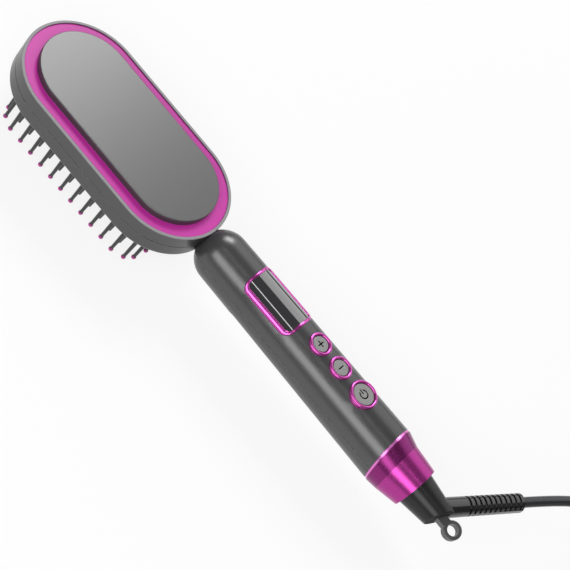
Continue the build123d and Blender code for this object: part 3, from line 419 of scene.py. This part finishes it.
join(
    lip_tree, (place.outputs["Object"], split.inputs[0]), (split.outputs["Z"], mask.inputs["Value"]),
    (mask.outputs["Result"], painted_lip_highlight.inputs["Factor"]), (painted, painted_lip_highlight.inputs["A"]),
    (painted_lip_highlight.outputs["Result"], lip_shader.inputs["Base Color"]),
    (mask.outputs["Result"], matt.inputs["Factor"]), (satin, matt.inputs[2]),
    (matt.outputs[0], lip_shader.inputs["Roughness"]),
    (mask.outputs["Result"], lip_metal_level.inputs["Value"]), (lip_metal_level.outputs["Result"], lip_shader.inputs["Metallic"]),
)
dress(lip_finish, "head_back_shell")

# %% [markdown]
# ## The magenta trim
# The channel round the head is a separate ring moulded in coloured plastic with a pearl in it, while the
# frames of the keys and of the window are plated and lacquered, so they mirror the room in their own colour.

# %% Magenta finishes
MAGENTA = (0.55, 0.027, 0.350)
# The pale pink edge colour is a painted highlight.
accent_finish = new_finish(
    "magenta_pearl_plastic", MAGENTA, 0.45, grain=2200.0, bump=0.05, patches=(22.0, 0.08, 0.05),
    edge=(0.25, 0.4), edge_highlight_colour=(0.92, 0.45, 0.80), plain={"Specular IOR Level": 0.35},
)
dress(accent_finish, "accent_ring")
chrome_finish = new_finish(
    "magenta_chrome", (0.66, 0.09, 0.46), 0.20, grain=900.0, bump=0.0, patches=(90.0, 0.06, 0.03),
    edge=None, plain={"Metallic": 0.85, "Coat Weight": 0.3},
)
dress(chrome_finish, "key_ring_plus", "key_ring_minus", "key_ring_power")

# %% [markdown]
# ## The bead round the window
# The frame's flat band becomes a rounded bead, because a rounded bead draws one bright line between two dark
# ones all round the window. It could be a curve with a bevel, but the bead also has to bend with the handle,
# be wider along the sides than at the ends, and stay seated in its groove. So it is lofted point by point.
# Its
# sizes come first: what it shares with the band is read from the frame, and the height of the handle's axis
# comes from the slip-ring spool, which is centred on it.

# %% Bead sizes
BEAD_SIDE, BEAD_END = 2.2 * MM, 1.6 * MM
OUTER_CORNER, INNER_CORNER = 4.6 * MM, 2.3 * MM
BAND_PROUD = 0.35 * MM
HANDLE_TAPER = 0.0114
band_low, band_high = (Vector(corner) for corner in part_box("display_frame"))
spool_low, spool_high = (Vector(corner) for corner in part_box("slip_ring_spool"))
axis_height = (spool_low.z + spool_high.z) / 2
band_radius = band_high.z - axis_height - BAND_PROUD
band_middle = (band_low.x + band_high.x) / 2
half_length, half_width = (band_high.x - band_low.x) / 2, band_high.y
print("window band", round(half_length * 2, 4), "m long, on a radius of", round(band_radius, 4), "m")

# %% [markdown]
# ## Outlines and wrapping
# Two rounded rectangles give the bead's outer and inner line. They have the same number of points, so each
# point of one has its partner on the other. Wrapping then bends the flat plan onto the tapered, round handle.

# %% Bead helpers
CORNER_STEPS, SIDE_STEPS = 12, 36


def rounded_outline(half_x, half_y, corner):
    """Points round a rounded rectangle, the same number for any size, so that two can be joined."""
    points = []
    signs = ((1, 1), (-1, 1), (-1, -1), (1, -1))
    for quarter, (side_x, side_y) in enumerate(signs):
        centre = Vector((side_x * (half_x - corner), side_y * (half_y - corner)))
        for i in range(CORNER_STEPS + 1):
            angle = math.radians(90 * (quarter + i / CORNER_STEPS))
            points.append(centre + corner * Vector((math.cos(angle), math.sin(angle))))
        next_x, next_y = signs[(quarter + 1) % 4]
        turn = math.radians(90 * (quarter + 1))
        target = Vector((next_x * (half_x - corner), next_y * (half_y - corner)))
        target += corner * Vector((math.cos(turn), math.sin(turn)))
        start = points[-1]
        points += [start.lerp(target, i / SIDE_STEPS) for i in range(1, SIDE_STEPS)]
    return points


def wrap_on_handle(spot, height):
    """A plan position laid on the handle's round skin, a height above it."""
    radius = band_radius - HANDLE_TAPER * (half_length - spot.x)
    angle = math.asin(spot.y / radius)
    reach = radius + height
    return (band_middle + spot.x, reach * math.sin(angle), axis_height + reach * math.cos(angle))


outer_line = rounded_outline(half_length, half_width, OUTER_CORNER)
inner_line = rounded_outline(half_length - BEAD_END, half_width - BEAD_SIDE, INNER_CORNER)
print("outlines of", len(outer_line), "points each")

# %% [markdown]
# ## The bead as a piece
# The section is a half round that starts just under the skin, with straight sides from there down into the
# groove. At each station it is laid between the two outlines, and neighbouring stations are joined by
# four-sided faces all the way round.

# %% Bead
BEAD_PROUD, BEAD_FOOT, BEAD_DEPTH = 0.45 * MM, -0.05 * MM, -1.0 * MM
ARC_STEPS = 12
bead_section = [(0.0, BEAD_DEPTH)]
for i in range(ARC_STEPS + 1):
    arc = math.radians(180 * i / ARC_STEPS)
    bead_section.append(((1 - math.cos(arc)) / 2, BEAD_FOOT + (BEAD_PROUD - BEAD_FOOT) * math.sin(arc)))
bead_section.append((1.0, BEAD_DEPTH))
bead_points = [
    wrap_on_handle(outer.lerp(inner, across), height)
    for outer, inner in zip(outer_line, inner_line) for across, height in bead_section
]
ring, around = len(outer_line), len(bead_section)
bead_faces = [
    (i * around + j, (i + 1) % ring * around + j,
     (i + 1) % ring * around + (j + 1) % around, i * around + (j + 1) % around)
    for i in range(ring) for j in range(around)
]
bead_mesh = bpy.data.meshes.new("window_bead")
bead_mesh.from_pydata(bead_points, [], bead_faces)
bead_mesh.shade_smooth()
bead_mesh.materials.append(chrome_finish)
bead = bpy.data.objects.new("window_bead", bead_mesh)
bpy.context.scene.collection.objects.link(bead)
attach(bead, "root")
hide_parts("display_frame")
dressed.add("display_frame")
print("window bead:", ring, "stations,", len(bead_faces), "faces")

# %% [markdown]
# ## The collar
# The collar at the tail is turned aluminium, dyed magenta. Dye sits in the metal, so its highlights stay
# coloured, and the lathe leaves fine lines round it. The finish starts from the usual recipe without bump or
# soft edges, and its roughness then comes from the turned lines instead of the moulded surface.

# %% Collar metal
COLLAR_ROUGHNESS, COLLAR_LINES, COLLAR_SPREAD = 0.25, 2600.0, 0.05
collar_finish = new_finish(
    "dyed_aluminium", (0.43, 0.042, 0.275), COLLAR_ROUGHNESS, bump=0.0, patches=(30.0, 0.06, 0.0),
    edge=None, plain={"Metallic": 0.80},
)
collar_tree = collar_finish.node_tree
collar_shader = collar_tree.nodes["Principled BSDF"]
turned = add_node(
    collar_tree, "ShaderNodeGroup",
    {"Lines": COLLAR_LINES, "Roughness": COLLAR_ROUGHNESS, "Spread": COLLAR_SPREAD}, node_tree=lines_group,
)
join(collar_tree, (turned.outputs["Roughness"], collar_shader.inputs["Roughness"]))
print(collar_finish.name, "with turned lines at a scale of", COLLAR_LINES)

# %% [markdown]
# ## Leaning planes
# The collar's leading edge and its crease both lie in planes that lean against the handle. The object's own
# coordinates tell how far behind such a plane a spot lies: subtract a point of the plane, and measure what is
# left along the direction that the plane faces. Two nodes do that, and it holds all the way round the collar.

# %% Collar helper
collar_place = add_node(collar_tree, "ShaderNodeTexCoord")


def depth_behind(face, tilt, drop=0.0):
    """Distance behind a leaning plane that crosses the handle at face, a drop below its axis."""
    lean = math.radians(tilt)
    foot = Vector((face * MM, 0.0, axis_height - drop * MM))
    across = Vector((math.cos(lean), 0.0, math.sin(lean)))
    behind = add_node(collar_tree, "ShaderNodeVectorMath", {1: foot}, operation="SUBTRACT")
    depth = add_node(collar_tree, "ShaderNodeVectorMath", {1: across}, operation="DOT_PRODUCT")
    join(
        collar_tree, (collar_place.outputs["Object"], behind.inputs[0]), (behind.outputs[0], depth.inputs[0]),
    )
    return depth.outputs["Value"]


print("collar helper ready, with the axis at", round(axis_height, 4), "m")

# %% [markdown]
# ## Chamfer and band of the collar
# The chamfer at the leading edge is painted paler, a painted highlight where it catches the light, and the
# band from there to the crease is painted darker, a painted shade for its face turned away from the light.
# Both could be materials of their own on faces of the mesh, but the frame's meshes stay as they are, so the
# two depths are turned into masks that mix the colours.

# %% Collar masks
# In millimetres and degrees: where the plane crosses the handle, how it leans, and how far below the axis.
COLLAR_FACE, COLLAR_TILT = 105.85, 11.3
CREASE_FACE, CREASE_TILT, CREASE_DROP = 114.30, 8.3, 0.9
CUT_WIDTH, CUT_FADE, BAND_FADE = 1.3 * MM, 0.3 * MM, 0.1 * MM
# The chamfer colour is a painted highlight and the band colour a painted shade.
CHAMFER_HIGHLIGHT_COLOUR, BAND_SHADE_COLOUR = (0.80, 0.22, 0.64, 1.0), (0.25, 0.023, 0.165, 1.0)
dyed = collar_shader.inputs["Base Color"].links[0].from_socket
mask = add_node(collar_tree, "ShaderNodeMapRange", {"From Min": CUT_WIDTH, "From Max": CUT_WIDTH - CUT_FADE})
painted_chamfer_highlight = add_node(collar_tree, "ShaderNodeMix", data_type="RGBA")
painted_chamfer_highlight.inputs["B"].default_value = CHAMFER_HIGHLIGHT_COLOUR
band = add_node(collar_tree, "ShaderNodeMapRange", {"From Min": BAND_FADE, "From Max": -BAND_FADE})
painted_band_shade = add_node(collar_tree, "ShaderNodeMix", data_type="RGBA")
painted_band_shade.inputs["B"].default_value = BAND_SHADE_COLOUR
join(
    collar_tree, (depth_behind(COLLAR_FACE, COLLAR_TILT), mask.inputs["Value"]),
    (mask.outputs["Result"], painted_chamfer_highlight.inputs["Factor"]),
    (depth_behind(CREASE_FACE, CREASE_TILT, CREASE_DROP), band.inputs["Value"]),
    (band.outputs["Result"], painted_band_shade.inputs["Factor"]),
    (dyed, painted_band_shade.inputs["A"]), (painted_band_shade.outputs["Result"], painted_chamfer_highlight.inputs["A"]),
    (painted_chamfer_highlight.outputs["Result"], collar_shader.inputs["Base Color"]),
)
dress(collar_finish, "tail_collar")

# %% [markdown]
# ## The back plate
# The raised plate on the back of the head is anodised metal with a bead-blasted face. Its roughness spreads
# the reflections of the lamps into one long, even gradient from end to end.

# %% Plate finish
# The pale grey edge colour is a painted highlight.
plate_finish = new_finish(
    "blasted_plate", (0.106, 0.106, 0.106), 0.34, grain=5200.0, bump=0.06, patches=(16.0, 0.05, 0.02),
    edge=(0.20, 0.6), edge_highlight_colour=(0.60, 0.60, 0.60), plain={"Metallic": 0.65},
)
dress(plate_finish, "back_plate")

# %% [markdown]
# ## Pins, tips and heating face
# The pins are dark nylon with a ball of magenta silicone on each end, which spares the scalp. Between them
# stand the coated metal teeth that carry the heat.

# %% Brush face finishes
# The pins' lighter edge colour is a painted highlight.
pin_finish = new_finish(
    "dark_nylon", (0.030, 0.031, 0.032), 0.28, grain=3000.0, bump=0.08, edge=(0.2, 0.3),
    edge_highlight_colour=(0.2, 0.2, 0.21), plain={"Specular IOR Level": 0.4},
)
dress(pin_finish, "bristle_pins")
tip_finish = new_finish(
    "magenta_silicone", (0.46, 0.035, 0.29), 0.30, grain=1500.0, bump=0.03, edge=(0.2, 0.1),
    plain={"Subsurface Weight": 0.15, "Subsurface Scale": 0.001, "Coat Weight": 0.2},
)
dress(tip_finish, "bristle_tips")
bed_finish = new_finish("matt_bed", (0.048, 0.048, 0.050), 0.55, grain=1600.0, bump=0.2, edge=(0.3, 0.3))
dress(bed_finish, "pin_bed")
# The coating's lighter edge colour is a painted highlight.
heater_finish = new_finish(
    "ceramic_coating", (0.070, 0.070, 0.074), 0.32, grain=4200.0, bump=0.14, patches=(50.0, 0.15, 0.1),
    edge=(0.25, 0.4), edge_highlight_colour=(0.2, 0.2, 0.2), plain={"Metallic": 0.4},
)
dress(heater_finish, "heating_plate", "heating_teeth")

# %% [markdown]
# ## The window
# The display cover is smoked acrylic, curved with the handle. Switched off, nothing shows through it, and it
# mirrors the long softboxes as bright stripes that follow the handle. A clear coat over near-black does that.

# %% Window and display finishes
window_finish = new_finish(
    "smoked_acrylic", (0.010, 0.010, 0.012), 0.07, grain=300.0, bump=0.0, patches=(60.0, 0.2, 0.02),
    edge=(0.1, 0.1), plain={"IOR": 2.2, "Coat Weight": 1.0, "Coat Roughness": 0.04, "Coat IOR": 1.9},
)
dress(window_finish, "display_window")
display_finish = new_finish("display_glass", (0.02, 0.022, 0.028), 0.18, grain=900.0, bump=0.03)
dress(display_finish, "display_module")

# %% [markdown]
# ## Keys and marks
# The keys are moulded light grey, and their marks are inlaid black. The rounding of their rims is what makes
# such small parts read as keys, so a strong painted highlight in a pale grey runs along their soft edge.

# %% Key finishes
key_finish = new_finish(
    "light_grey_keys", (0.26, 0.26, 0.255), 0.36, grain=3600.0, bump=0.06, edge=(0.3, 0.6),
    edge_highlight_colour=(0.7, 0.7, 0.69), plain={"Metallic": 0.3},
)
dress(key_finish, "key_plus", "key_minus", "key_power")
mark_finish = new_finish(
    "black_inlay", (0.004, 0.004, 0.004), 0.6, grain=2500.0, bump=0.02, edge=(0.1, 0.0),
    plain={"Specular IOR Level": 0.1},
)
dress(mark_finish, "mark_plus", "mark_minus", "mark_power")

# %% [markdown]
# ## The tail
# The tail cone turns with the lead, so it is plain black nylon, polished on its cone and left textured on its
# slanted end. The direction that a spot faces tells the two apart: only the end faces along the handle, so
# the X of the object's own normal is the mask for the rougher texture.

# %% Tail finish
TEXTURED_ROUGHNESS = 0.85
FACING_FROM, FACING_TO = 0.6, 0.85
# The grey edge colour is a painted highlight.
tail_finish = new_finish(
    "black_nylon", (0.016, 0.016, 0.017), 0.30, grain=2400.0, bump=0.05, patches=(50.0, 0.2, 0.08),
    edge=(0.18, 0.5), edge_highlight_colour=(0.25, 0.25, 0.25), plain={"Specular IOR Level": 0.30},
)
tail_tree = tail_finish.node_tree
tail_shader = tail_tree.nodes["Principled BSDF"]
polished = tail_shader.inputs["Roughness"].links[0].from_socket
place = add_node(tail_tree, "ShaderNodeTexCoord")
split = add_node(tail_tree, "ShaderNodeSeparateXYZ")
mask = add_node(tail_tree, "ShaderNodeMapRange", {"From Min": FACING_FROM, "From Max": FACING_TO})
textured = add_node(tail_tree, "ShaderNodeMix", {3: TEXTURED_ROUGHNESS})
join(
    tail_tree, (place.outputs["Normal"], split.inputs[0]), (split.outputs["X"], mask.inputs["Value"]),
    (mask.outputs["Result"], textured.inputs["Factor"]), (polished, textured.inputs[2]),
    (textured.outputs[0], tail_shader.inputs["Roughness"]),
)
dress(tail_finish, "swivel_tail")

# %% [markdown]
# ## Eye, strain relief and lead
# The hanging eye is a darker grey of the casing. The strain relief, the plug and the lead's jacket are soft
# compounds: almost black, with a greasy shine. The ribs of the relief are real, so they need no drawn edge.

# %% Eye and lead finishes
# The eye's lighter edge colour is a painted highlight.
eye_finish = new_finish(
    "grey_nylon", (0.085, 0.085, 0.088), 0.32, grain=2400.0, bump=0.08, edge=(0.4, 0.3),
    edge_highlight_colour=(0.3, 0.3, 0.3), plain={"Metallic": 0.3},
)
dress(eye_finish, "hang_loop")
relief_finish = new_finish(
    "soft_black_compound", (0.006, 0.006, 0.007), 0.20, grain=1800.0, bump=0.03,
    patches=(60.0, 0.25, 0.1), edge=None, plain={"Specular IOR Level": 1.0},
)
dress(relief_finish, "strain_relief", "plug_body")
lead_finish = new_finish(
    "lead_jacket", (0.028, 0.029, 0.031), 0.24, grain=1600.0, bump=0.05, patches=(35.0, 0.2, 0.1), edge=None,
)
lead_curve.materials.append(lead_finish)
print("lead wears", lead_finish.name)

# %% [markdown]
# ## What is inside
# The parts under the shells are seldom seen, but a model that opens up should be as true inside as outside:
# natural nylon, a green board, bright steel, nickelled brass, white ceramic and golden mica.

# %% Inside finishes
INSIDE = (
    ("natural_nylon", (0.60, 0.58, 0.52), 0.5, 0.0, ("neck_tube", "slip_ring_spool", "contact_block")),
    ("solder_mask_green", (0.015, 0.12, 0.045), 0.3, 0.0, ("main_board",)),
    ("component_black", (0.03, 0.03, 0.033), 0.45, 0.0,
     ("tact_switches", "capacitor", "power_relay", "triac")),
    ("wire_insulation", (0.55, 0.09, 0.05), 0.4, 0.0, ("heater_wires", "supply_wires", "inner_leads")),
    ("bright_steel", (0.60, 0.60, 0.61), 0.28, 1.0,
     ("heater_clamp", "thermal_fuse", "head_screws", "handle_screws", "swivel_clip")),
    ("nickel_brass", (0.80, 0.62, 0.30), 0.24, 1.0, ("slip_rings", "contact_brushes", "plug_pins")),
    ("white_ceramic", (0.80, 0.79, 0.75), 0.35, 0.0, ("ptc_heater", "temperature_sensor")),
    ("golden_mica", (0.62, 0.46, 0.24), 0.3, 0.0, ("mica_sheet",)),
)
for label, colour, roughness, metallic, names in INSIDE:
    inside = new_finish(
        label, colour, roughness, grain=1500.0, bump=0.1, patches=(120.0, 0.25, 0.12), edge=(0.2, 0.3),
        plain={"Metallic": metallic},
    )
    dress(inside, *names)
print("nodes without a finish:", sorted(set(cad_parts) - dressed))

# %% [markdown]
# ## The white of the table
# The brush lies on a plain white table. The table could be lit until it is white, but that would wash out the
# brush as well. Instead its own colour is pale, and a share of plain white is mixed in for the rays that the
# camera, the reflections and clear parts send, so it looks white and still keeps the shadow.

# %% Table finish
PAPER = {"Base Color": (0.86, 0.86, 0.86, 1.0), "Roughness": 0.9, "Specular IOR Level": 0.1}
WHITE_SHARE = 0.84
floor_finish = bpy.data.materials.new("white_table")
floor_finish.use_nodes = True
floor_tree = floor_finish.node_tree
paper = floor_tree.nodes["Principled BSDF"]
for socket, value in PAPER.items():
    paper.inputs[socket].default_value = value
white = add_node(floor_tree, "ShaderNodeEmission", {"Color": (1.0, 1.0, 1.0, 1.0), "Strength": 1.0})
rays = add_node(floor_tree, "ShaderNodeLightPath")
seen = add_node(floor_tree, "ShaderNodeMath", operation="MAXIMUM")
seen_through = add_node(floor_tree, "ShaderNodeMath", operation="MAXIMUM")
share = add_node(floor_tree, "ShaderNodeMath", {1: WHITE_SHARE}, operation="MULTIPLY")
blend = add_node(floor_tree, "ShaderNodeMixShader")
join(
    floor_tree,
    (rays.outputs["Is Camera Ray"], seen.inputs[0]), (rays.outputs["Is Glossy Ray"], seen.inputs[1]),
    (seen.outputs[0], seen_through.inputs[0]),
    (rays.outputs["Is Transmission Ray"], seen_through.inputs[1]),
    (seen_through.outputs[0], share.inputs[0]), (share.outputs[0], blend.inputs["Fac"]),
    (paper.outputs[0], blend.inputs[1]), (white.outputs[0], blend.inputs[2]),
    (blend.outputs[0], floor_tree.nodes["Material Output"].inputs["Surface"]),
)
print(floor_finish.name, "with", WHITE_SHARE, "of plain white")

# %% [markdown]
# ## Floor
# The table is one large square, so that its edges lie far from the brush and show only in very low views. It
# lies a hair below the brush, because two surfaces at exactly the same height would flicker into each other.

# %% Floor
HALF_FLOOR, FLOOR_GAP = 6.0, 0.2 * MM
floor_corners = [(x * HALF_FLOOR, y * HALF_FLOOR, 0) for x, y in ((-1, -1), (1, -1), (1, 1), (-1, 1))]
floor_mesh = bpy.data.meshes.new("table_top")
floor_mesh.from_pydata(floor_corners, [], [(0, 1, 2, 3)])
floor_mesh.materials.append(floor_finish)
floor = bpy.data.objects.new("table_top", floor_mesh)
bpy.context.scene.collection.objects.link(floor)
floor.location.z = cad_box[0][2] - FLOOR_GAP
print("table at z =", round(floor.location.z, 4))

# %% [markdown]
# ## Softboxes
# A softbox that lies parallel to the handle draws its highlight as one long, soft line. An area lamp shines
# down its own Z axis, and turning only that axis to the brush would leave the lamp's long side to chance. So
# all three axes are worked out here: back from the brush to the lamp, across as near to X as it can be, and
# upright to both.

# %% Softbox helper


def softbox(name, place, aim, length, width, power):
    """A rectangular lamp whose long side runs along X, as the handle does."""
    data = bpy.data.lights.new(name, "AREA")
    data.shape = "RECTANGLE"
    data.size = length
    data.size_y = width
    data.energy = power
    lamp = bpy.data.objects.new(name, data)
    bpy.context.scene.collection.objects.link(lamp)
    lamp.location = place
    back = (Vector(place) - Vector(aim)).normalized()
    across = Vector((1, 0, 0)) - back * back.x
    across.normalize()
    upright = back.cross(across)
    lamp.rotation_mode = "QUATERNION"
    lamp.rotation_quaternion = Matrix((across, upright, back)).transposed().to_quaternion()
    lamp.visible_camera = False
    print(name, "of", power, "W at", place)


print("softbox helper ready")

# %% [markdown]
# ## Lights
# The large panel behind fills the back plate, and the smaller key at the left brightens the plate towards the
# head's free end, which gives it its gradient. The strip in front draws the bright line along the handle, the
# thin one above draws the line in the window, and the world gives the rest a plain, even level.

# %% Lights
BRUSH_MIDDLE = (0.0, 0.0, 0.03)
WORLD_COLOUR, WORLD_STRENGTH = (0.50, 0.50, 0.51, 1.0), 0.26
softbox("back_panel", (0.15, 0.98, 0.72), (0.05, 0.0, 0.03), 1.5, 1.10, 5.5)
softbox("left_key", (-0.56, 0.66, 0.74), (-0.10, 0.0, 0.03), 0.50, 0.40, 6.0)
softbox("front_strip", (0.05, -0.76, 0.60), BRUSH_MIDDLE, 1.5, 0.46, 8.8)
softbox("top_strip", (0.05, -0.22, 1.10), BRUSH_MIDDLE, 1.5, 0.06, 0.9)
world = bpy.data.worlds.new("studio")
bpy.context.scene.world = world
world.use_nodes = True
background = world.node_tree.nodes["Background"]
background.inputs["Color"].default_value = WORLD_COLOUR
background.inputs["Strength"].default_value = WORLD_STRENGTH
bpy.context.scene.view_settings.view_transform = "Standard"
print("world at", WORLD_STRENGTH)
